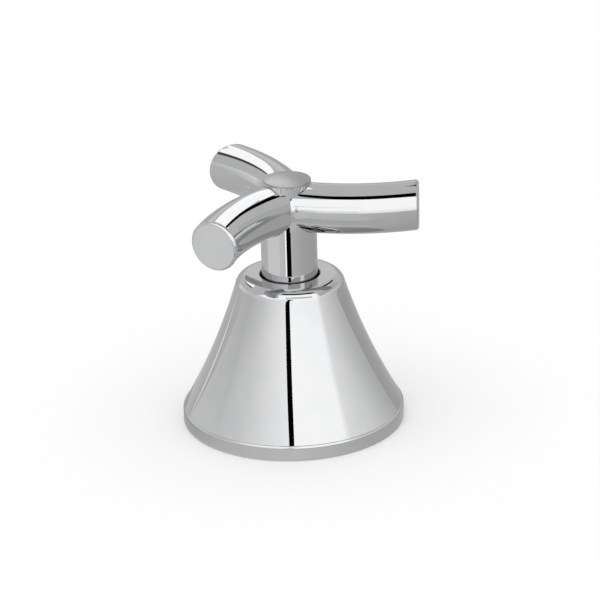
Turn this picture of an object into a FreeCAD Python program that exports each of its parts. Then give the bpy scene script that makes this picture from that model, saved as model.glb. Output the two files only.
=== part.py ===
# Replacement tap handle: a three-armed cast handle that turns in a conical flange.
# Millimetres, +Z up along the tap's spindle, origin at the middle of the flange's base,
# and the end of the first arm on the +X side.
import FreeCAD
import Part
import math
import os

# Flange: the conical cover that stands on the wall or basin
base_radius = 27.85
rim_height = 3.9
rim_edge_round = 0.4
rim_flat = 0.05
flange_height = 38.6
flange_top_width = 5.5
side_hollow = 1.1
shoulder_round = 3.0
flange_wall = 2.0
top_plate = 2.0
hole_edge_round = 0.25
collar_wall = 1.2

# Foot ring of the flange and the seal let into it
foot_height = 3.0
foot_outer_lip = 1.0
foot_inner_lip = 1.2
seal_width = 2.0
seal_depth = 1.4

# Guide bush that centres the stem in the flange
guide_length = 6.0
guide_wall = 1.5
guide_head = 1.2
guide_head_round = 0.3

# Spline bush pressed into the stem, for a fluted spindle
spline_count = 20
spline_tip_radius = 3.6
spline_depth = 0.45
spline_length = 10.0
spline_tip_share = 0.3
spline_root_share = 0.3
lead_in_length = 4.0
lead_in_step = 0.2
spline_bush_wall = 1.13

# Handle casting: stem, hub and arms
stem_wall = 1.8
stem_tail = 7.4
stem_end_chamfer = 0.6
arm_count = 3
arm_reach = 32.3
arm_curve_radius = 49.0
arm_clearance = 11.8
arm_end_round = 0.8
hub_wall = 1.6
hub_rise = 0.2
hub_edge_round = 0.12
crease_cover = 0.16
crease_fillet = 1.3
stem_fillet = 0.3
web_thickness = 3.5

# Fixing screw and its spring washer, under the button
screw_radius = 2.0
screw_length = 12.0
screw_head_radius = 3.5
screw_head_height = 2.6
screw_head_round = 0.7
screw_point_chamfer = 0.5
hex_key_width = 2.5
hex_key_depth = 1.6
washer_thickness = 0.9
washer_width = 1.4
washer_split = 0.8

# Index button, a push-in cap held by an O-ring
button_rim = 0.45
button_crown = 0.75
button_edge_round = 0.15
button_shank_length = 6.0
button_shank_chamfer = 0.4
groove_width = 1.9
groove_depth = 0.75
groove_from_top = 2.2

# Clearances between pieces, all on the radius
stem_gap = 0.45
running_clearance = 0.06
press_clearance = 0.02
screw_clearance = 0.2
head_clearance = 0.8
shank_clearance = 0.7
button_inset = 0.05
seal_clearance = 0.1

# Radii worked outwards from the spindle
spline_root_radius = spline_tip_radius + spline_depth
lead_in_radius = spline_root_radius + lead_in_step
spline_bush_radius = spline_root_radius + spline_bush_wall
stem_bore_radius = spline_bush_radius + press_clearance
stem_radius = stem_bore_radius + stem_wall
stem_hole_radius = stem_radius + stem_gap
guide_bore_radius = stem_radius + running_clearance
guide_radius = guide_bore_radius + guide_wall
collar_bore_radius = guide_radius + press_clearance
collar_radius = collar_bore_radius + collar_wall
crease_radius = stem_radius + crease_cover
arm_radius = crease_radius * math.sin(math.pi / arm_count)
head_bore_radius = screw_head_radius + head_clearance
hub_radius = head_bore_radius + hub_wall
shank_radius = head_bore_radius - shank_clearance
groove_radius = shank_radius - groove_depth
button_radius = hub_radius - button_inset
top_corner_radius = stem_hole_radius + flange_top_width
side_foot_radius = base_radius - rim_edge_round - rim_flat
seal_recess_outer = base_radius - foot_outer_lip
seal_recess_inner = seal_recess_outer - seal_width
foot_bore_radius = seal_recess_inner - foot_inner_lip

# Heights, from the base upwards
plate_under = flange_height - top_plate
collar_bottom = plate_under - guide_length
stem_bottom = collar_bottom - guide_head - stem_tail
spline_bottom = stem_bottom + lead_in_length
spline_top = spline_bottom + spline_length
screw_seat = spline_top + web_thickness
head_seat = screw_seat + washer_thickness
arm_bottom = flange_height + arm_clearance
arm_height = arm_bottom + arm_radius
hub_top = arm_height + arm_radius + hub_rise
groove_top = hub_top - groove_from_top

UP = FreeCAD.Vector(0, 0, 1)
CENTRE = FreeCAD.Vector(0, 0, 0)
FULL_TURN = 360
HEX_SIDES = 6
PAST = 1.0  # how far a cutting tool runs past the face that it leaves through
HAIR = 1e-6  # exact values closer than this are the same
NEAR = 1e-3  # how far a computed curve may stray from its surface


def profile_point(radius, height):
    return FreeCAD.Vector(radius, 0, height)


def polar_point(radius, angle, height):
    return FreeCAD.Vector(radius * math.cos(angle), radius * math.sin(angle), height)


def turned(edges):
    """A solid turned about the Z axis from profile edges that close on themselves."""
    face = Part.Face(Part.Wire(edges))
    return face.revolve(CENTRE, UP, FULL_TURN)


def lines(corners):
    """Straight profile edges through (radius, height) corners, left open at the end."""
    points = [profile_point(*corner) for corner in corners]
    return [Part.makeLine(a, b) for a, b in zip(points, points[1:])]


def turned_corners(corners):
    """A solid turned from (radius, height) corners joined by straight lines."""
    return turned(lines(corners + corners[:1]))


def ring(inner_radius, outer_radius, bottom, top):
    return turned_corners([
        (inner_radius, bottom),
        (outer_radius, bottom),
        (outer_radius, top),
        (inner_radius, top),
    ])


def rod(radius, bottom, top):
    return Part.makeCylinder(radius, top - bottom, CENTRE + UP * bottom)


def circles_at(solid, radius, height):
    """The circular edges about the Z axis at one radius and height."""
    found = []
    for edge in solid.Edges:
        if edge.Degenerated or not isinstance(edge.Curve, Part.Circle):
            continue
        centre = edge.Curve.Center
        on_axis = math.hypot(centre.x, centre.y) < HAIR
        if on_axis and abs(centre.z - height) < HAIR and abs(edge.Curve.Radius - radius) < HAIR:
            found.append(edge)
    return found


# The flange's side is one hollow arc from the rim's ledge to the corner of the top.
side_run = math.hypot(side_foot_radius - top_corner_radius, flange_height - rim_height)
side_radius = (side_run ** 2 / 4 + side_hollow ** 2) / (2 * side_hollow)
side_lean = math.atan2(side_foot_radius - top_corner_radius, flange_height - rim_height)
side_middle_radius = (side_foot_radius + top_corner_radius) / 2
side_middle_height = (rim_height + flange_height) / 2
side_set_back = side_radius - side_hollow
side_centre_radius = side_middle_radius + side_set_back * math.cos(side_lean)
side_centre_height = side_middle_height + side_set_back * math.sin(side_lean)


def side_at(height, depth):
    """Radius of the flange's side at a height, measured a depth below its outer face."""
    reach = math.sqrt((side_radius + depth) ** 2 - (height - side_centre_height) ** 2)
    return side_centre_radius - reach


def side_arc(bottom, top, depth):
    """Profile edge along the flange's side between two heights."""
    heights = (bottom, (bottom + top) / 2, top)
    points = [profile_point(side_at(height, depth), height) for height in heights]
    return Part.Arc(*points).toShape()


def make_flange():
    outside = lines([
        (0, flange_height),
        (0, 0),
        (base_radius, 0),
        (base_radius, rim_height),
        (side_foot_radius, rim_height),
    ])
    outside.append(side_arc(rim_height, flange_height, 0))
    outside += lines([(top_corner_radius, flange_height), (0, flange_height)])
    shell = turned(outside)
    shell = shell.makeFillet(shoulder_round, circles_at(shell, top_corner_radius, flange_height))
    shell = shell.makeFillet(rim_edge_round, circles_at(shell, base_radius, rim_height))

    hollow = lines([
        (0, plate_under),
        (0, -PAST),
        (foot_bore_radius, -PAST),
        (foot_bore_radius, foot_height),
        (side_at(foot_height, flange_wall), foot_height),
    ])
    hollow.append(side_arc(foot_height, plate_under, flange_wall))
    hollow += lines([(side_at(plate_under, flange_wall), plate_under), (0, plate_under)])
    shell = shell.cut(turned(hollow))

    collar = ring(collar_bore_radius, collar_radius, collar_bottom, plate_under)
    stem_hole = rod(stem_hole_radius, plate_under - PAST, flange_height + PAST)
    recess = ring(seal_recess_inner, seal_recess_outer, -PAST, seal_depth)
    shell = shell.fuse(collar).cut(stem_hole).cut(recess).removeSplitter()
    return shell.makeFillet(hole_edge_round, circles_at(shell, stem_hole_radius, flange_height))


def make_base_seal():
    inner = seal_recess_inner + seal_clearance
    outer = seal_recess_outer - seal_clearance
    return ring(inner, outer, 0, seal_depth)


def make_guide_bush():
    head_bottom = collar_bottom - guide_head
    bush = turned_corners([
        (guide_bore_radius, head_bottom),
        (collar_radius, head_bottom),
        (collar_radius, collar_bottom),
        (guide_radius, collar_bottom),
        (guide_radius, plate_under),
        (guide_bore_radius, plate_under),
    ])
    return bush.makeFillet(guide_head_round, circles_at(bush, collar_radius, head_bottom))


def make_arm():
    """One arm along +X: a round bar bent to an arc in plan, squared off across its end."""
    chord_angle = math.asin(arm_reach / (2 * arm_curve_radius))
    start = FreeCAD.Vector(math.cos(chord_angle), -math.sin(chord_angle), 0)
    sideways = UP.cross(start)
    root = UP * arm_height
    bend_centre = root + sideways * arm_curve_radius
    top, bottom = root + UP * arm_radius, root - UP * arm_radius
    inner, outer = root + sideways * arm_radius, root - sideways * arm_radius
    upper_half = Part.Arc(inner, top, outer).toShape()
    lower_half = Part.Arc(outer, bottom, inner).toShape()
    section = Part.Face(Part.Wire([upper_half, lower_half]))
    overrun = 2 * arm_radius / arm_curve_radius
    bar = section.revolve(bend_centre, UP, math.degrees(2 * chord_angle + overrun))
    outwards = FreeCAD.Vector(1, 0, 0)
    tip = root + outwards * arm_reach
    cutter_radius = 4 * arm_radius
    bar = bar.cut(Part.makeCylinder(cutter_radius, arm_reach, tip, outwards))
    end_faces = [face for face in bar.Faces if abs(face.CenterOfMass.x - arm_reach) < HAIR]
    return bar.makeFillet(arm_end_round, end_faces[0].Edges)


def make_spine():
    """Stem and hub, solid: the stem ends inside the arms, and a narrower hub carries the button."""
    spine = turned_corners([
        (0, stem_bottom),
        (stem_radius - stem_end_chamfer, stem_bottom),
        (stem_radius, stem_bottom + stem_end_chamfer),
        (stem_radius, arm_height),
        (hub_radius, arm_height),
        (hub_radius, hub_top),
        (0, hub_top),
    ])
    return spine.makeFillet(hub_edge_round, circles_at(spine, hub_radius, hub_top))


def axis_distance(edge):
    middle = edge.valueAt((edge.FirstParameter + edge.LastParameter) / 2)
    return math.hypot(middle.x, middle.y)


def meeting_curves(casting):
    """The curves in which arms, stem and hub meet: not lines, not circles, and close to the axis."""
    plain = (Part.Line, Part.Circle)
    curves = [edge for edge in casting.Edges if not edge.Degenerated and not isinstance(edge.Curve, plain)]
    return [edge for edge in curves if axis_distance(edge) < crease_radius + HAIR]


def lies_at(edge, radius):
    return abs(axis_distance(edge) - radius) < NEAR


def make_handle():
    arm = make_arm()
    arms = []
    for number in range(arm_count):
        turned_arm = arm.copy()
        turned_arm.rotate(CENTRE, UP, number * FULL_TURN / arm_count)
        arms.append(turned_arm)
    casting = make_spine().multiFuse(arms).removeSplitter()
    casting = casting.Solids[0]
    creases = [edge for edge in meeting_curves(casting)
               if not lies_at(edge, stem_radius) and not lies_at(edge, hub_radius)]
    casting = casting.makeFillet(crease_fillet, creases)
    stem_edges = [edge for edge in meeting_curves(casting) if lies_at(edge, stem_radius)]
    casting = casting.makeFillet(stem_fillet, stem_edges)
    casting = casting.cut(rod(stem_bore_radius, stem_bottom - PAST, spline_top))
    casting = casting.cut(rod(screw_radius + screw_clearance, spline_top - PAST, screw_seat + PAST))
    return casting.cut(rod(head_bore_radius, screw_seat, hub_top + PAST))


def make_spline_bush():
    """A brass sleeve with straight-sided teeth inside and a plain lead-in bore below them."""
    sleeve = rod(spline_bush_radius, stem_bottom, spline_top)
    pitch = 2 * math.pi / spline_count
    corners = []
    for number in range(spline_count):
        middle = number * pitch
        for share, radius in (
            (spline_tip_share - 1, spline_tip_radius),
            (-spline_root_share, spline_root_radius),
            (spline_root_share, spline_root_radius),
            (1 - spline_tip_share, spline_tip_radius),
        ):
            corners.append(polar_point(radius, middle + share * pitch / 2, spline_bottom))
    flutes = Part.Face(Part.makePolygon(corners + corners[:1]))
    sleeve = sleeve.cut(flutes.extrude(UP * (spline_length + PAST)))
    return sleeve.cut(rod(lead_in_radius, stem_bottom - PAST, spline_bottom))


def make_spring_washer():
    inner = screw_radius + screw_clearance
    washer = ring(inner, inner + washer_width, screw_seat, head_seat)
    slit_length = inner + washer_width + PAST
    corner = FreeCAD.Vector(0, -washer_split / 2, screw_seat - PAST)
    slit = Part.makeBox(slit_length, washer_split, washer_thickness + 2 * PAST, corner)
    return washer.cut(slit)


def make_fixing_screw():
    head_top = head_seat + screw_head_height
    point = head_seat - screw_length
    screw = turned_corners([
        (0, point),
        (screw_radius - screw_point_chamfer, point),
        (screw_radius, point + screw_point_chamfer),
        (screw_radius, head_seat),
        (screw_head_radius, head_seat),
        (screw_head_radius, head_top),
        (0, head_top),
    ])
    screw = screw.makeFillet(screw_head_round, circles_at(screw, screw_head_radius, head_top))
    corner_radius = hex_key_width / 2 / math.cos(math.pi / HEX_SIDES)
    corners = [polar_point(corner_radius, 2 * math.pi * number / HEX_SIDES, head_top - hex_key_depth)
               for number in range(HEX_SIDES)]
    key_hole = Part.Face(Part.makePolygon(corners + corners[:1]))
    return screw.cut(key_hole.extrude(UP * (hex_key_depth + PAST)))


def make_index_button():
    rim_top = hub_top + button_rim
    crown_top = rim_top + button_crown
    crown_radius = (button_radius ** 2 + button_crown ** 2) / (2 * button_crown)
    half_radius = button_radius / 2
    half_height = crown_top - crown_radius + math.sqrt(crown_radius ** 2 - half_radius ** 2)
    shank_bottom = hub_top - button_shank_length
    outline = lines([
        (0, crown_top),
        (0, shank_bottom),
        (shank_radius - button_shank_chamfer, shank_bottom),
        (shank_radius, shank_bottom + button_shank_chamfer),
        (shank_radius, groove_top - groove_width),
        (groove_radius, groove_top - groove_width),
        (groove_radius, groove_top),
        (shank_radius, groove_top),
        (shank_radius, hub_top),
        (button_radius, hub_top),
        (button_radius, rim_top),
    ])
    outline.append(Part.Arc(
        profile_point(button_radius, rim_top),
        profile_point(half_radius, half_height),
        profile_point(0, crown_top),
    ).toShape())
    button = turned(outline)
    return button.makeFillet(button_edge_round, circles_at(button, button_radius, rim_top))


def make_button_o_ring():
    """Round section, filling the space between the groove's floor and the bore in the hub."""
    section_radius = (head_bore_radius - groove_radius) / 2 - press_clearance
    middle_radius = (head_bore_radius + groove_radius) / 2
    return Part.makeTorus(middle_radius, section_radius, UP * (groove_top - groove_width / 2))


PIECES = {
    "flange": make_flange,
    "base_seal": make_base_seal,
    "guide_bush": make_guide_bush,
    "handle": make_handle,
    "spline_bush": make_spline_bush,
    "spring_washer": make_spring_washer,
    "fixing_screw": make_fixing_screw,
    "index_button": make_index_button,
    "button_o_ring": make_button_o_ring,
}

os.makedirs("parts", exist_ok=True)
for name, make in PIECES.items():
    shape = make()
    shape.exportStep("parts/" + name + ".step")
    box = shape.BoundBox
    print(name, shape.isValid(), len(shape.Solids), round(shape.Volume, 1),
          [round(x, 2) for x in (box.XMin, box.XMax, box.YMin, box.YMax, box.ZMin, box.ZMax)])
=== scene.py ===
# %% [markdown]
# # A chrome tap handle, dressed for its photograph
#
# The part is a three-armed handle that turns in a conical flange. Its shape comes from the CAD
# frame. This lesson gives it a finish, a camera and a small studio.
#
# Chrome is a mirror, so most of what the eye sees on it is the room. The lesson therefore spends
# as much care on the cards round the part as on the part itself.

# %% load the frame
import math
from functools import partial

import bmesh
import bpy
from mathutils import Matrix, Vector


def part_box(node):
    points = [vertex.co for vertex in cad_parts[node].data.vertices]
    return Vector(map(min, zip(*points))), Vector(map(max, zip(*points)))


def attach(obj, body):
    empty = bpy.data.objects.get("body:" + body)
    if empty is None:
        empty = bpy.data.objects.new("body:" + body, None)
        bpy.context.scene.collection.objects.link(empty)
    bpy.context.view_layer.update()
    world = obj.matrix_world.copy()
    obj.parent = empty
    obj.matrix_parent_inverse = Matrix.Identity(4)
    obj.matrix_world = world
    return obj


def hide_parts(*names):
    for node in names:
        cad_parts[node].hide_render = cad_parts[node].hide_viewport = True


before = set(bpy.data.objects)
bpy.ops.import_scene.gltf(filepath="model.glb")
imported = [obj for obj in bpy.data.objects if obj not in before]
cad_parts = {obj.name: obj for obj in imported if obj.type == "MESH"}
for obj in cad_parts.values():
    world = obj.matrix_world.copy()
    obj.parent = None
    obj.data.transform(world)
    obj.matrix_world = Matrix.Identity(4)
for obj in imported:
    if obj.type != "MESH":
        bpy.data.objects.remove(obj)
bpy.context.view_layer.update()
print("nodes:", sorted(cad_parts))

# %% [markdown]
# ## Camera
#
# A long lens from a little above, as a catalogue photographer would use, so that the arm at the
# front looks hardly larger than the one at the back. The angles were fitted to the outlines. The
# camera could be aimed by a constraint. Here its axes come from a small function that turns the room
# to the camera, because the lamp and the cards of the studio are placed by it too.

# %% camera
MM = 0.001
VIEW_AZIMUTH = math.radians(3.6)
VIEW_ELEVATION = math.radians(22.4)
VIEW_ROLL = math.radians(1.6)
CAMERA_DISTANCE = 779.9
CAMERA_TARGET = (2.338, 0.0, 31.224)
FOCAL_LENGTH = 187.6
SENSOR_WIDTH = 36.0


def studio(x, y, z):
    """A point in mm as the camera sees the room: x to its right, y away from it, z up."""
    return Matrix.Rotation(VIEW_AZIMUTH, 3, "Z") @ Vector((x, y, z)) * MM


right = studio(1, 0, 0).normalized()
back = studio(0, -math.cos(VIEW_ELEVATION), math.sin(VIEW_ELEVATION)).normalized()
level = Matrix((right, back.cross(right), back)).transposed()
rolled = level @ Matrix.Rotation(-VIEW_ROLL, 3, "Z")
stand = studio(*CAMERA_TARGET) + back * CAMERA_DISTANCE * MM
camera = bpy.data.objects.new("camera", bpy.data.cameras.new("camera"))
camera.data.sensor_width = SENSOR_WIDTH
camera.data.lens = FOCAL_LENGTH
camera.matrix_world = Matrix.Translation(stand) @ rolled.to_4x4()
bpy.context.scene.collection.objects.link(camera)
bpy.context.scene.camera = camera
print("camera at", [round(value, 3) for value in camera.matrix_world.translation])

# %% [markdown]
# ## Helpers for materials
#
# Colours are written as the hex values that a paint picker shows, and turned to linear light in
# one place. The second helper adds a shader node with its settings and links in one call, and the
# third starts an empty material. Nodes could be wired line by line instead, but then the recipe of
# a finish would be lost among the wires.


# %% helpers for materials
def linear(hex_colour):
    """An sRGB hex colour as the linear RGBA that shader sockets take."""
    parts = [int(hex_colour[i:i + 2], 16) / 255 for i in (0, 2, 4)]
    return [p / 12.92 if p <= 0.04045 else ((p + 0.055) / 1.055) ** 2.4 for p in parts] + [1.0]


def add(tree, kind, links=(), values=(), stops=(), **settings):
    """A new shader node. links and values are (socket, output or value) pairs, stops (position, hex)."""
    node = tree.nodes.new("ShaderNode" + kind)
    for name, value in settings.items():
        setattr(node, name, value)
    for socket, value in values:
        node.inputs[socket].default_value = value
    for socket, output in links:
        tree.links.new(output, node.inputs[socket])
    for position, _ in stops[2:]:  # a new colour ramp already has two stops
        node.color_ramp.elements.new(position)
    for number, (position, colour) in enumerate(stops):
        node.color_ramp.elements[number].position = position
        node.color_ramp.elements[number].color = linear(colour)
    return node


def new_material(name):
    """An empty node material and its tree."""
    material = bpy.data.materials.new(name)
    material.use_nodes = True
    material.node_tree.nodes.clear()
    return material, material.node_tree


print("white in linear light:", linear("ffffff"))

# %% [markdown]
# ## Chrome
#
# Chrome plating is a hard, bluish-white metal that keeps the polish of the brass under it. It mirrors
# about half of the light, so even a white card looks a little grey in it. A single grey would look
# like plastic foil. Here the tint and the polish drift a little over a few millimetres, as they do on
# a buffed casting, and a bump of a thousandth of a millimetre gives the skin of the plating.
#
# The button is blasted before it is plated. That scatters the light, so it looks soft and grey between
# the bright arms. The inside of the flange is plated as it was cast, because nobody sees it.

# %% chrome
DRIFT = 4.5
NOISE = (0.3, 0.7)  # nearly all of a noise texture lies between these two values


def plated(name, tints, roughness, skin, relief):
    """Chrome over brass: two hex tints, two roughness values, and the skin's grain and relief in mm."""
    material, tree = new_material(name)
    place = add(tree, "TexCoord").outputs["Object"]
    drift = add(tree, "TexNoise", links=[("Vector", place)],
                values=[("Scale", 1 / (DRIFT * MM)), ("Detail", 3.0)]).outputs["Fac"]
    tint = add(tree, "ValToRGB", links=[("Fac", drift)], stops=list(zip(NOISE, tints)))
    polish = add(tree, "MapRange", links=[("Value", drift)], values=[
        ("From Min", NOISE[0]), ("From Max", NOISE[1]), ("To Min", roughness[0]), ("To Max", roughness[1])])
    grain = add(tree, "TexNoise", links=[("Vector", place)],
                values=[("Scale", 1 / (skin * MM)), ("Detail", 2.0)]).outputs["Fac"]
    bump = add(tree, "Bump", links=[("Height", grain)], values=[("Distance", relief * MM)])
    shader = add(tree, "BsdfPrincipled", values=[("Metallic", 1.0)], links=[
        ("Base Color", tint.outputs["Color"]), ("Roughness", polish.outputs["Result"]),
        ("Normal", bump.outputs["Normal"])])
    add(tree, "OutputMaterial", links=[("Surface", shader.outputs["BSDF"])])
    return material


chrome = plated("polished chrome", ("c2c3c4", "c6c6c6"), (0.012, 0.03), skin=1.5, relief=0.0008)
satin = plated("satin chrome", ("a0a1a2", "a9a9a9"), (0.34, 0.44), skin=0.4, relief=0.003)
cast = plated("plating as cast", ("8f908f", "a09f9c"), (0.35, 0.5), skin=0.6, relief=0.03)
print("chrome mirrors", round(linear("c4c5c5")[0], 2), "of the light")

# %% [markdown]
# ## Rubber, acetal, brass and steel
#
# The small parts are turned or moulded. Turned metal shows fine rings round its axis, where the tool
# went by. They are finer than the eye can count, so they are drawn a quarter of a millimetre apart,
# which just shows. Moulded rubber has a dull, slightly rough skin, and acetal a waxy one. A wave
# texture makes the rings and a noise texture the skins, because both keep their size in millimetres.

# %% turned and moulded parts
WAVE_UNIT = 20.0  # the wave texture runs through this many radians per unit at a scale of 1
TOOL_MARK = 0.004


def turned(name, tints, roughness, pitch):
    """Metal from the lathe: rings about the Z axis, one per pitch in mm."""
    material, tree = new_material(name)
    place = add(tree, "TexCoord").outputs["Object"]
    rings = add(tree, "TexWave", links=[("Vector", place)], bands_direction="Z", values=[
        ("Scale", math.tau / (WAVE_UNIT * pitch * MM)), ("Distortion", 0.6)]).outputs["Fac"]
    tint = add(tree, "ValToRGB", links=[("Fac", rings)], stops=list(zip((0.0, 1.0), tints)))
    polish = add(tree, "MapRange", links=[("Value", rings)],
                 values=[("To Min", roughness[0]), ("To Max", roughness[1])])
    bump = add(tree, "Bump", links=[("Height", rings)], values=[("Distance", TOOL_MARK * MM)])
    shader = add(tree, "BsdfPrincipled", values=[("Metallic", 1.0)], links=[
        ("Base Color", tint.outputs["Color"]), ("Roughness", polish.outputs["Result"]),
        ("Normal", bump.outputs["Normal"])])
    add(tree, "OutputMaterial", links=[("Surface", shader.outputs["BSDF"])])
    return material


def moulded(name, tints, roughness, skin, relief):
    """A moulded part: a fine skin with its grain size and relief in mm."""
    material, tree = new_material(name)
    place = add(tree, "TexCoord").outputs["Object"]
    grain = add(tree, "TexNoise", links=[("Vector", place)],
                values=[("Scale", 1 / (skin * MM)), ("Detail", 4.0)]).outputs["Fac"]
    tint = add(tree, "ValToRGB", links=[("Fac", grain)], stops=list(zip(NOISE, tints)))
    polish = add(tree, "MapRange", links=[("Value", grain)],
                 values=[("To Min", roughness[0]), ("To Max", roughness[1])])
    bump = add(tree, "Bump", links=[("Height", grain)], values=[("Distance", relief * MM)])
    shader = add(tree, "BsdfPrincipled", links=[
        ("Base Color", tint.outputs["Color"]), ("Roughness", polish.outputs["Result"]),
        ("Normal", bump.outputs["Normal"])])
    add(tree, "OutputMaterial", links=[("Surface", shader.outputs["BSDF"])])
    return material


rubber = moulded("seal rubber", ("121212", "1d1d1c"), (0.65, 0.85), skin=0.5, relief=0.02)
acetal = moulded("black acetal", ("0c0c0d", "141415"), (0.35, 0.5), skin=0.8, relief=0.004)
brass = turned("machined brass", ("c0954a", "d6b065"), (0.18, 0.32), pitch=0.25)
steel = turned("stainless steel", ("a3a29e", "b7b6b2"), (0.22, 0.36), pitch=0.25)
print("turned and moulded:", rubber.name, acetal.name, brass.name, steel.name)

# %% materials of the nodes
NODE_MATERIALS = {
    "flange": chrome, "handle": chrome, "index_button": satin,
    "base_seal": rubber, "button_o_ring": rubber, "guide_bush": acetal,
    "spline_bush": brass, "fixing_screw": steel, "spring_washer": steel,
}
for name, material in NODE_MATERIALS.items():
    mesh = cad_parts[name].data
    mesh.materials.clear()
    mesh.materials.append(material)
print("materials on", len(NODE_MATERIALS), "nodes")

# %% [markdown]
# ## Turned shapes
#
# The flange and the button are round, so each is half an outline that is spun about the Z axis. An
# arc in the outline is a row of points. Where an arc runs into a straight, an extra point sits close
# beside the border: shading is blended from corner to corner, and the extra ring keeps the straight
# part straight to the eye.

# %% turned shapes
SHARP_ANGLE = math.radians(25)
SAME_POINT = 1e-7


def arc(centre, radius, start, end, steps):
    """Points (radius, height) along an outline's arc, angles in degrees from the outward direction."""
    angles = [math.radians(start + (end - start) * i / steps) for i in range(steps + 1)]
    return [(centre[0] + radius * math.cos(a), centre[1] + radius * math.sin(a)) for a in angles]


def angle_to(centre, point):
    """The direction from a centre to a point of an outline, in degrees."""
    return math.degrees(math.atan2(point[1] - centre[1], point[0] - centre[0]))


def spin(outline, steps):
    """A closed outline of (radius, height) points in mm, spun about the Z axis."""
    bm = bmesh.new()
    verts = [bm.verts.new((radius * MM, 0, height * MM)) for radius, height in outline]
    edges = [bm.edges.new(pair) for pair in zip(verts, verts[1:] + verts[:1])]
    bmesh.ops.spin(bm, geom=verts + edges, axis=(0, 0, 1), cent=(0, 0, 0),
                   angle=math.tau, steps=steps, use_merge=True)
    bmesh.ops.remove_doubles(bm, verts=bm.verts, dist=SAME_POINT)
    bmesh.ops.recalc_face_normals(bm, faces=bm.faces)
    return bm


def finish_piece(bm, name, node, body, *materials):
    """Shades a mesh, makes it an object and lets it stand for a CAD node."""
    for face in bm.faces:
        face.smooth = True
    for edge in bm.edges:
        edge.smooth = len(edge.link_faces) == 2 and edge.calc_face_angle() < SHARP_ANGLE
    mesh = bpy.data.meshes.new(name)
    bm.to_mesh(mesh)
    bm.free()
    piece = bpy.data.objects.new(name, mesh)
    bpy.context.scene.collection.objects.link(piece)
    for material in materials:
        mesh.materials.append(material)
    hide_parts(node)
    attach(piece, body)
    print(name, len(mesh.polygons), "faces")
    return piece


print("edges over", round(math.degrees(SHARP_ANGLE)), "degrees stay sharp")

# %% [markdown]
# ## Flange
#
# The flange is a spun or cast cone that hides the hole in the basin. Its side is slightly hollow, and
# a short upright rim stands at its foot. The CAD mesh could be used as it is, but its facets would
# break the long reflections, so the outline is spun anew in finer steps. The sizes are those of the
# CAD part. Only the rim's edge is rounder here, because buffing takes more off an edge than a drawing
# says, and that edge carries a bright line in the photograph.

# %% sizes of the flange
BASE_RADIUS = 27.85
RIM_HEIGHT = 3.9
RIM_ROUND = 0.8
SIDE_FOOT = 27.4
FLANGE_HEIGHT = 38.6
TOP_CORNER = 12.95
SIDE_HOLLOW = 1.1
SHOULDER = 3.0
WALL = 2.0
PLATE_UNDER = 36.6
STEM_HOLE = 7.45
HOLE_ROUND = 0.25
COLLAR_BORE = 8.58
COLLAR = 9.78
COLLAR_BOTTOM = 30.6
FOOT_HEIGHT = 3.0
FOOT_BORE = 23.65
RECESS_INSIDE = 24.85
RECESS_OUTSIDE = 26.85
RECESS_DEPTH = 1.4

run = math.hypot(SIDE_FOOT - TOP_CORNER, FLANGE_HEIGHT - RIM_HEIGHT)
lean = math.atan2(SIDE_FOOT - TOP_CORNER, FLANGE_HEIGHT - RIM_HEIGHT)
side_radius = (run ** 2 / 4 + SIDE_HOLLOW ** 2) / (2 * SIDE_HOLLOW)
set_back = side_radius - SIDE_HOLLOW
side_centre = ((SIDE_FOOT + TOP_CORNER) / 2 + set_back * math.cos(lean),
               (RIM_HEIGHT + FLANGE_HEIGHT) / 2 + set_back * math.sin(lean))
print("the side is hollow with a radius of", round(side_radius, 1), "mm")

# %% outline of the flange
BESIDE = 0.04  # a support ring this far from a tangent border keeps a flat face flat to the eye
RIM_STEPS = 10
SIDE_STEPS = 40
SHOULDER_STEPS = 20
HOLE_STEPS = 5
INSIDE_STEPS = 24


def on_side(height, depth):
    """The point of the side at a height, or the one that lies a depth under it."""
    reach = math.sqrt((side_radius + depth) ** 2 - (height - side_centre[1]) ** 2)
    return side_centre[0] - reach, height


def side_angle(point):
    """The direction from the centre of the side's arc to a point, as 0 to 360 degrees."""
    return angle_to(side_centre, point) % 360


rim_corner = (SIDE_FOOT, RIM_HEIGHT)
rim_reach = SIDE_FOOT - (BASE_RADIUS - RIM_ROUND)
rim_centre = (BASE_RADIUS - RIM_ROUND, RIM_HEIGHT - math.sqrt(RIM_ROUND ** 2 - rim_reach ** 2))
shoulder_centre = on_side(FLANGE_HEIGHT - SHOULDER, SHOULDER)
shoulder_start = angle_to(shoulder_centre, side_centre)
hole_centre = (STEM_HOLE + HOLE_ROUND, FLANGE_HEIGHT - HOLE_ROUND)
inside_top = side_angle(on_side(PLATE_UNDER, WALL))
inside_foot = side_angle(on_side(FOOT_HEIGHT, WALL))

profile = [(BASE_RADIUS, 0), (BASE_RADIUS, rim_centre[1] - BESIDE)]
profile += arc(rim_centre, RIM_ROUND, 0, angle_to(rim_centre, rim_corner), RIM_STEPS)[:-1]
profile += arc(side_centre, side_radius, side_angle(rim_corner), 180 + shoulder_start, SIDE_STEPS)[:-1]
profile += arc(shoulder_centre, SHOULDER, shoulder_start, 90, SHOULDER_STEPS)
profile += [(shoulder_centre[0] - BESIDE, FLANGE_HEIGHT), (hole_centre[0] + BESIDE, FLANGE_HEIGHT)]
profile += arc(hole_centre, HOLE_ROUND, 90, 180, HOLE_STEPS)
profile += [(STEM_HOLE, hole_centre[1] - BESIDE), (STEM_HOLE, PLATE_UNDER),
            (COLLAR_BORE, PLATE_UNDER), (COLLAR_BORE, COLLAR_BOTTOM),
            (COLLAR, COLLAR_BOTTOM), (COLLAR, PLATE_UNDER)]
profile += arc(side_centre, side_radius + WALL, inside_top, inside_foot, INSIDE_STEPS)
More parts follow.
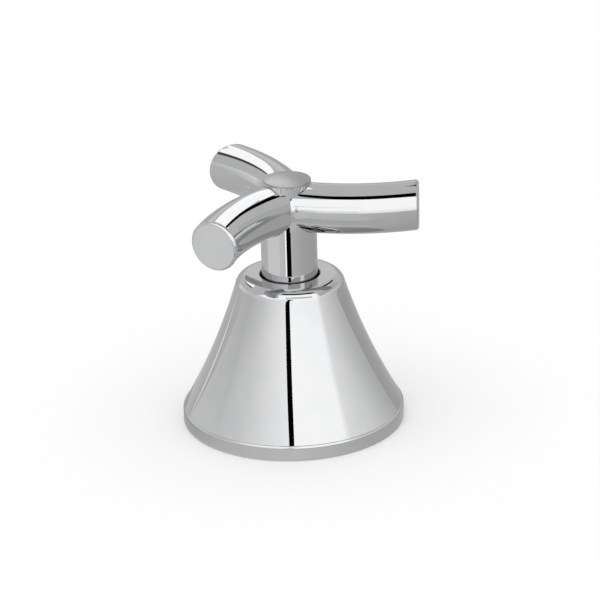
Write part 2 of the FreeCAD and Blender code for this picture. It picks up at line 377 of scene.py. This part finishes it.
profile += [(FOOT_BORE, FOOT_HEIGHT), (FOOT_BORE, 0),
            (RECESS_INSIDE, 0), (RECESS_INSIDE, RECESS_DEPTH),
            (RECESS_OUTSIDE, RECESS_DEPTH), (RECESS_OUTSIDE, 0)]
print("flange outline of", len(profile), "points")

# %% flange
FLANGE_STEPS = 256
INWARD = -0.1
DOWNWARD = -0.9

bm = spin(profile, FLANGE_STEPS)
for face in bm.faces:
    centre = face.calc_center_median()
    outward = Vector((centre.x, centre.y, 0)).normalized()
    hidden = face.normal.dot(outward) < INWARD or face.normal.z < DOWNWARD
    face.material_index = int(hidden and centre.z > BESIDE * MM)
finish_piece(bm, "flange_piece", "flange", "fixed_flange", chrome, cast)

# %% [markdown]
# ## Button
#
# The button is a plain cap over the fixing screw: a flat dome with a thin upright edge, and under it
# a shank with a groove for its O-ring. A squashed sphere would give a dome too, but with no edge, so
# this is a spun outline as well.

# %% button
BUTTON = 5.85
HUB_TOP = 63.0
BUTTON_RIM = 0.45
CROWN = 0.75
EDGE_ROUND = 0.15
SHANK = 3.6
SHANK_BOTTOM = 57.0
SHANK_CHAMFER = 0.4
GROOVE = 2.85
GROOVE_TOP = 60.8
GROOVE_WIDTH = 1.9
EDGE_STEPS = 6
DOME_STEPS = 40
BUTTON_STEPS = 160

dome_radius = (BUTTON ** 2 + CROWN ** 2) / (2 * CROWN)
dome_centre = (0.0, HUB_TOP + BUTTON_RIM + CROWN - dome_radius)
edge_reach = dome_radius - EDGE_ROUND
edge_across = BUTTON - EDGE_ROUND
edge_centre = (edge_across, dome_centre[1] + math.sqrt(edge_reach ** 2 - edge_across ** 2))
dome_edge_angle = angle_to(dome_centre, edge_centre)
groove_bottom = GROOVE_TOP - GROOVE_WIDTH
profile = [(SHANK, HUB_TOP), (BUTTON, HUB_TOP), (BUTTON, edge_centre[1] - BESIDE)]
profile += arc(edge_centre, EDGE_ROUND, 0, dome_edge_angle, EDGE_STEPS)
profile += arc(dome_centre, dome_radius, dome_edge_angle, 90, DOME_STEPS)[1:]
profile += [(0, SHANK_BOTTOM), (SHANK - SHANK_CHAMFER, SHANK_BOTTOM), (SHANK, SHANK_BOTTOM + SHANK_CHAMFER),
            (SHANK, groove_bottom), (GROOVE, groove_bottom), (GROOVE, GROOVE_TOP), (SHANK, GROOVE_TOP)]
finish_piece(spin(profile, BUTTON_STEPS), "button_piece", "index_button", "turning_handle", satin)

# %% [markdown]
# ## Fixing screw
#
# A socket screw under the button holds the handle down on the tap's spindle. Its thread is a ridge that
# climbs by one pitch a turn. The whole screw could be modelled anew, but the CAD mesh already has the
# head and its socket. So a copy of it gets a shank as thin as the root of the thread, and a small
# profile is spun up round that.

# %% fixing screw
SCREW = 2.0
PITCH = 0.7
THREAD_DEPTH = 0.43
FLANK = 0.3
CREST = 0.06
HEAD_HEIGHT = 2.6
PLAIN_NECK = 1.0
PLAIN_POINT = 0.8
TURN_STEPS = 24
SAME_CORNER = 1e-6


def cad_copy(node):
    """A CAD node's mesh as a new one, with its loose triangles merged."""
    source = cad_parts[node]
    bm = bmesh.new()
    bm.from_mesh(source.data)
    bm.transform(source.matrix_world)
    bmesh.ops.remove_doubles(bm, verts=bm.verts, dist=SAME_CORNER)
    return bm


bm = cad_copy("fixing_screw")
point, head_top = (corner.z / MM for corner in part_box("fixing_screw"))
head_seat = head_top - HEAD_HEIGHT
shank = [vert for vert in bm.verts if vert.co.z / MM < head_seat + BESIDE
         and abs(vert.co.xy.length / MM - SCREW) < BESIDE]
thinner = (SCREW - THREAD_DEPTH) / SCREW
bmesh.ops.scale(bm, vec=(thinner, thinner, 1), verts=shank)
root = SCREW - THREAD_DEPTH - BESIDE
turns = (head_seat - PLAIN_NECK - point - PLAIN_POINT) / PITCH
ridge = bm.faces.new([
    bm.verts.new((radius * MM, 0, (point + PLAIN_POINT + height) * MM))
    for radius, height in ((root, -FLANK), (SCREW, -CREST), (SCREW, CREST), (root, FLANK))])
bmesh.ops.spin(bm, geom=[ridge, *ridge.edges, *ridge.verts], axis=(0, 0, 1), cent=(0, 0, 0),
               dvec=(0, 0, PITCH * MM / TURN_STEPS), angle=math.tau * turns, steps=round(turns * TURN_STEPS))
bmesh.ops.recalc_face_normals(bm, faces=bm.faces)
finish_piece(bm, "screw_piece", "fixing_screw", "turning_handle", steel)
print("thread of", round(turns, 1), "turns")

# %% [markdown]
# ## Handle
#
# Stem, hub and arms are one polished casting. The CAD mesh has the right shape, but its facets are
# flat, and a mirror shows every facet. More facets would help a little. The true surfaces are known,
# though: a round stem, a round hub and three bars bent to an arc. So each corner of a facet gets the
# normal that the real surface has there, and the reflections run as smoothly as on polished metal.

# %% handle
handle = finish_piece(cad_copy("handle"), "handle_piece", "handle", "turning_handle", chrome)

# %% surfaces of the handle
STEM = 7.0
HUB = 5.9
CREASE_COVER = 0.16
ARM_COUNT = 3
ARM_RADIUS = (STEM + CREASE_COVER) * math.sin(math.pi / ARM_COUNT)
ARM_HEIGHT = 56.6
ARM_REACH = 32.3
BEND_RADIUS = 49.0
CHORD_ANGLE = math.asin(ARM_REACH / (2 * BEND_RADIUS))


def round_surface(radius, point):
    """How far a point is off a round about the Z axis, and the round's normal there."""
    outward = Vector((point.x, point.y, 0))
    return abs(outward.length - radius), outward.normalized()


def arm_surface(direction, point):
    """How far a point is off the bent bar of the arm that ends in a direction, and the normal there."""
    swing = direction - CHORD_ANGLE
    bend_centre = Vector((-math.sin(swing), math.cos(swing), 0)) * BEND_RADIUS
    outward = Vector((point.x, point.y, 0)) - bend_centre
    middle = bend_centre + outward.normalized() * BEND_RADIUS
    across = point - Vector((middle.x, middle.y, ARM_HEIGHT))
    return abs(across.length - ARM_RADIUS), across.normalized()


def end_surface(direction, point):
    """How far a point is off the flat end of the arm that ends in a direction, and the normal there."""
    outward = Vector((math.cos(direction), math.sin(direction), 0))
    return abs(point.dot(outward) - ARM_REACH), outward


surfaces = [partial(round_surface, STEM), partial(round_surface, HUB)]
for number in range(ARM_COUNT):
    direction = number * math.tau / ARM_COUNT
    surfaces += [partial(arm_surface, direction), partial(end_surface, direction)]
print("known surfaces:", len(surfaces))

# %% normals of the handle
ON_SURFACE = 0.01
ALIKE = math.cos(math.radians(25))


def true_normal(point, facet, fallback):
    """The normal of the surface through a point that best fits the facet beside it."""
    fits = [normal for gap, normal in (surface(point) for surface in surfaces) if gap < ON_SURFACE]
    best = max(fits, key=facet.dot, default=fallback)
    return best if best.dot(facet) > ALIKE else fallback


mesh = handle.data
smooth = [Vector(normal.vector) for normal in mesh.corner_normals]
normals = [
    true_normal(mesh.vertices[mesh.loops[corner].vertex_index].co / MM, face.normal, smooth[corner])
    for face in mesh.polygons for corner in face.loop_indices]
mesh.normals_split_custom_set(normals)
print(sum(a != b for a, b in zip(normals, smooth)), "of", len(normals), "corners on known surfaces")

# %% [markdown]
# ## Room, floor and lamp
#
# A white room with a white paper floor. A sweep of paper that rises behind would look the same from
# this height, so the floor is flat. The large lamp overhead is soft enough that the part leaves only
# a faint shadow round its foot.

# %% room and floor
ROOM_LIGHT = 1.0
FLOOR_HALF = 4.0

world = bpy.data.worlds.new("white room")
bpy.context.scene.world = world
world.use_nodes = True
world.node_tree.nodes["Background"].inputs["Color"].default_value = linear("ffffff")
world.node_tree.nodes["Background"].inputs["Strength"].default_value = ROOM_LIGHT

bm = bmesh.new()
bmesh.ops.create_grid(bm, x_segments=1, y_segments=1, size=FLOOR_HALF)
mesh = bpy.data.meshes.new("floor")
bm.to_mesh(mesh)
bm.free()
floor = bpy.data.objects.new("floor", mesh)
bpy.context.scene.collection.objects.link(floor)
paper, tree = new_material("white paper")
shader = add(tree, "BsdfDiffuse", values=[("Color", linear("f8f8f8"))])
add(tree, "OutputMaterial", links=[("Surface", shader.outputs["BSDF"])])
mesh.materials.append(paper)
print("floor", 2 * FLOOR_HALF, "m wide")

# %% lamp
LAMP_SIZE = 0.9
LAMP_POWER = 1.6
LAMP_PLACE = (-250, -200, 1200)

lamp = bpy.data.objects.new("soft lamp", bpy.data.lights.new("soft lamp", "AREA"))
lamp.data.size = LAMP_SIZE
lamp.data.energy = LAMP_POWER
lamp.location = studio(*LAMP_PLACE)
lamp.rotation_euler = (-lamp.location).to_track_quat("-Z", "Y").to_euler()
lamp.visible_glossy = False
bpy.context.scene.collection.objects.link(lamp)
print("lamp", round(lamp.location.length, 2), "m away")

# %% [markdown]
# ## Light tent
#
# Photographers stand a chrome part in a tent of cloth, so that it mirrors cloth and not the room.
# The cloth is lit unevenly on purpose: bright in front and to the right, grey behind. That gives
# the cone its broad white band and its darker edges. Two felt mats under the part are lit unevenly
# too. Many lamps could light plain cloth like this, but a ramp of greys round the axis is easier to
# tune. Tent, mats and cards are seen by mirrors alone, so they cast no light and the floor stays white.

# %% levels of light
BLACK = 0.0
DARK = 0.1
DULL = 0.65
SHADED = 0.66
GREY = 0.75
PALE = 0.78
PALER = 0.83
SOFT = 0.97
LIGHT = 1.25
WHITE = 1.63
print("a white card has a level of", round(WHITE * linear("c4c5c5")[0], 2), "in chrome")

# %% cloth that only mirrors see
LEFT = -90  # a radial gradient starts and ends on the camera's left


def hang(bm, name, material):
    """Makes a mesh a part of the studio that only mirrors see."""
    mesh = bpy.data.meshes.new(name)
    bm.to_mesh(mesh)
    bm.free()
    mesh.materials.append(material)
    screen = bpy.data.objects.new(name, mesh)
    bpy.context.scene.collection.objects.link(screen)
    screen.visible_camera = False
    screen.visible_diffuse = False
    screen.visible_shadow = False


def grey_hex(level):
    """A linear grey level as an sRGB hex colour."""
    value = 1.055 * level ** (1 / 2.4) - 0.055
    return "%02x" % round(value * 255) * 3


def cloth(name, brightest, levels, foot=1.0, fade=1.0):
    """Lit cloth: (degrees from the camera to its right, level) pairs, dimmed at its foot up to fade in m."""
    material, tree = new_material(name)
    place = add(tree, "TexCoord").outputs["Object"]
    facing = add(tree, "VectorRotate", links=[("Vector", place)], values=[("Angle", -VIEW_AZIMUTH)])
    around = add(tree, "TexGradient", links=[("Vector", facing.outputs["Vector"])], gradient_type="RADIAL")
    colour = add(tree, "ValToRGB", links=[("Fac", around.outputs["Fac"])], stops=[
        ((azimuth - LEFT) / 360, grey_hex(level / brightest)) for azimuth, level in levels])
    height = add(tree, "SeparateXYZ", links=[("Vector", place)]).outputs["Z"]
    strength = add(tree, "MapRange", links=[("Value", height)], interpolation_type="SMOOTHSTEP",
                   values=[("From Max", fade), ("To Min", foot * brightest), ("To Max", brightest)])
    shader = add(tree, "Emission", links=[
        ("Color", colour.outputs["Color"]), ("Strength", strength.outputs["Result"])])
    add(tree, "OutputMaterial", links=[("Surface", shader.outputs["Emission"])])
    return material


print("half the light is the grey", grey_hex(0.5))

# %% light tent
TENT_RADIUS = 1.4
TENT_TOP = 2.2
TENT_STEPS = 180

bm = bmesh.new()
low = bm.verts.new((0, TENT_RADIUS, 0))
high = bm.verts.new((0, TENT_RADIUS, TENT_TOP))
edge = bm.edges.new((low, high))
bmesh.ops.spin(bm, geom=[low, high, edge], axis=(0, 0, 1), cent=(0, 0, 0),
               angle=math.tau, steps=TENT_STEPS, use_merge=True)
hang(bm, "light tent", cloth("tent cloth", WHITE, [
    (-90, 0.87), (-60, 1.0), (-30, 1.25), (-14, 1.38), (-3, 1.45), (-1, 1.63), (55, 1.6), (62, 1.24),
    (72, 1.15), (100, 0.96), (138, 0.78), (165, 0.6), (180, 0.6), (218, 0.74), (228, 1.06), (242, 1.02),
    (269.9, 0.87)], foot=0.82, fade=0.45))
print("tent radius", TENT_RADIUS, "m")

# %% felt mats
MAT_RADIUS = 1.372
FOOT_MAT_RADIUS = 0.042
MAT_LIFT = 0.2
MAT_STEPS = 96


def mat(name, radius, lift, material):
    """A round mat about the Z axis, lifted off the floor by some mm."""
    bm = bmesh.new()
    bmesh.ops.create_circle(bm, cap_ends=True, radius=radius, segments=MAT_STEPS)
    bmesh.ops.translate(bm, vec=(0, 0, lift * MM), verts=bm.verts)
    hang(bm, name, material)


mat("grey mat", MAT_RADIUS, MAT_LIFT, cloth("mat felt", LIGHT, [
    (-90, 0.78), (-60, 0.87), (-30, 0.85), (0, 0.78), (20, 0.69), (60, 0.6), (120, 0.54), (180, 0.55),
    (220, 0.64), (269.9, 0.78)]))
mat("foot mat", FOOT_MAT_RADIUS, 2 * MAT_LIFT, cloth("foot felt", LIGHT, [
    (-90, 0.46), (-45, 0.72), (0, 0.84), (45, 0.64), (90, 0.55), (180, 0.5), (269.9, 0.46)]))
print("mats of", MAT_RADIUS, "and", FOOT_MAT_RADIUS, "m")

# %% [markdown]
# ## Cards over the arms
#
# Each long highlight and each black line on the arms is one card. White cards give the bands, black
# bars beside them the crisp lines, and a grey ceiling the rest. A round arm squeezes what it mirrors
# into a narrow stripe, so the outlines of the cards bend as the arms do. Lines painted on the metal
# would be quicker, but they would turn with the handle, and a reflection stays with the room.

# %% cards over the arms
HUB_CARD = 74
LOW_CARD = 80
BARS = 130
CEILING = 134


def card(name, level, corners):
    """A flat card of one light level with its corners in studio coordinates."""
    material, tree = new_material(name)
    shader = add(tree, "Emission", values=[("Strength", level)])
    add(tree, "OutputMaterial", links=[("Surface", shader.outputs["Emission"])])
    bm = bmesh.new()
    bm.faces.new([bm.verts.new(studio(*corner)) for corner in corners])
    hang(bm, name, material)


def lying(height, *corners):
    """The corners (x, y) of a level card at a height."""
    return [(x, y, height) for x, y in corners]


card("ceiling", GREY, lying(CEILING, (-250, -46), (250, -46), (250, 350), (-250, 350)))
card("front light", WHITE, lying(CEILING, (-160, -160), (160, -160), (160, -46), (-160, -46)))
card("front bar", BLACK, lying(
    BARS, (-26, -9), (-20, -12), (-10, -17), (0, -21), (10, -22), (20, -22), (30, -21),
    (40, -19.5), (50, -17), (62, -14), (62, -40), (50, -41), (40, -43), (30, -45.5), (20, -46),
    (10, -45.5), (0, -44), (-10, -40), (-20, -33), (-26, -28)))
card("right bar", BLACK, lying(
    BARS, (37.5, 38), (42, 34.5), (48, 27), (57, 20), (63, 40), (65, 60), (67.5, 75), (71, 95), (72, 128),
    (53, 128), (51, 95), (47, 72), (43.5, 55), (40.5, 43)))
card("right white", WHITE, lying(
    LOW_CARD, (-13, 25), (-17, 15), (-12, 8.5), (-6, 6), (0, 4.5), (3.9, 3.6), (3.7, 5.3), (3.3, 8),
    (2.2, 13), (0, 22), (-5, 32), (-8, 40), (-12, 40)))
card("hub white", WHITE, lying(HUB_CARD, (0.2, 4.4), (-0.3, 0.4), (1.2, -0.8), (3.9, 1.1), (0.9, 4.8)))
card("left bar", DARK, lying(BARS, (-88, 50), (-71, 60), (-71, 140), (-81, 140), (-88, 95)))
card("left white", WHITE, lying(
    BARS, (-71, 58), (-66, 60), (-56, 75), (-45, 93), (-36, 113), (-28, 135), (-25, 145), (-45, 145),
    (-71, 140)))
card("back light", PALER, lying(BARS, (-60, 170), (60, 170), (60, 345), (-60, 345)))

# %% [markdown]
# ## Strip and screens
#
# The cone carries one upright black line, from a strip that stands in front of it. Other parts would
# mirror the strip too, so small screens stand between, and one on the right shades what faces it.
# A dark stripe in the tent would draw a line as well, but it would run up the whole cloth, and a strip
# ends where it should.

# %% strip and screens
STRIP = -150
UPPER_SCREEN = -60
MIDDLE_SCREEN = -40
LOWER_SCREEN = -25
SIDE_SCREEN = 60


def standing(depth, *corners):
    """The corners (x, z) of an upright card at a depth into the room."""
    return [(x, depth, z) for x, z in corners]


card("cone strip", BLACK, standing(
    STRIP, (-29, 60), (-6, 60), (-0.2, 87), (13, 91), (13, 112), (-26, 112), (-13, 87)))
card("upper screen", WHITE, standing(UPPER_SCREEN, (-34, 65), (16, 65), (16, 81), (-34, 81)))
card("middle screen", LIGHT, standing(MIDDLE_SCREEN, (-8, 57.3), (12, 57.3), (12, 62.2), (-8, 62.2)))
card("lower screen", PALE, standing(
    LOWER_SCREEN, (2.2, 45), (20, 45), (20, 51), (-3.5, 51), (-3.5, 46.4), (2.2, 46.4)))
card("side screen", SHADED, [
    (SIDE_SCREEN, -36, 54), (SIDE_SCREEN, 45, 54), (SIDE_SCREEN, 45, 84), (SIDE_SCREEN, -36, 84)])
print("strip", -STRIP, "mm in front of the axis")

# %% [markdown]
# ## Cards on the floor
#
# The stem, the undersides of the arms and their ends mirror the floor. Pale cards that lie on the
# felt light them, and a black one draws the upright line on the stem. A low card far behind, on the
# left, lights the edge of the flange. Tones in the felt could do the same, but a card has a sharp
# border, and the line needs one.

# %% cards on the floor
STRIP_LIFT = 0.5
EDGE_TOP = 6
EDGE_NEAR = (-162, 124)
EDGE_FAR = (-158, 132)

card("edge light", LIGHT, [
    (*EDGE_NEAR, STRIP_LIFT), (*EDGE_FAR, STRIP_LIFT), (*EDGE_FAR, EDGE_TOP), (*EDGE_NEAR, EDGE_TOP)])
card("end card", SOFT, lying(STRIP_LIFT, (-175, -125), (-115, -125), (-115, -58), (-175, -58)))
card("left floor card", SOFT, lying(
    STRIP_LIFT, (-95, 8), (-87, -39), (-58, -75), (-89, -114), (-133, -59), (-144, 13)))
card("front floor card", DULL, lying(STRIP_LIFT, (-45, -91), (40, -91), (40, -36), (-45, -36)))
card("stem strip", BLACK, lying(STRIP_LIFT, (-17.5, -92), (13.5, -92), (20, -148), (-25, -148)))
card("stem light", WHITE, lying(STRIP_LIFT, (-27, -92), (-17.5, -92), (-25, -148), (-39, -148)))
print("floor cards lie", STRIP_LIFT, "mm over the floor")

# %% [markdown]
# ## Finish
#
# The view transform stays plain, so that a colour in the picture is the colour that was written.

# %% finish
bpy.context.scene.view_settings.view_transform = "Standard"
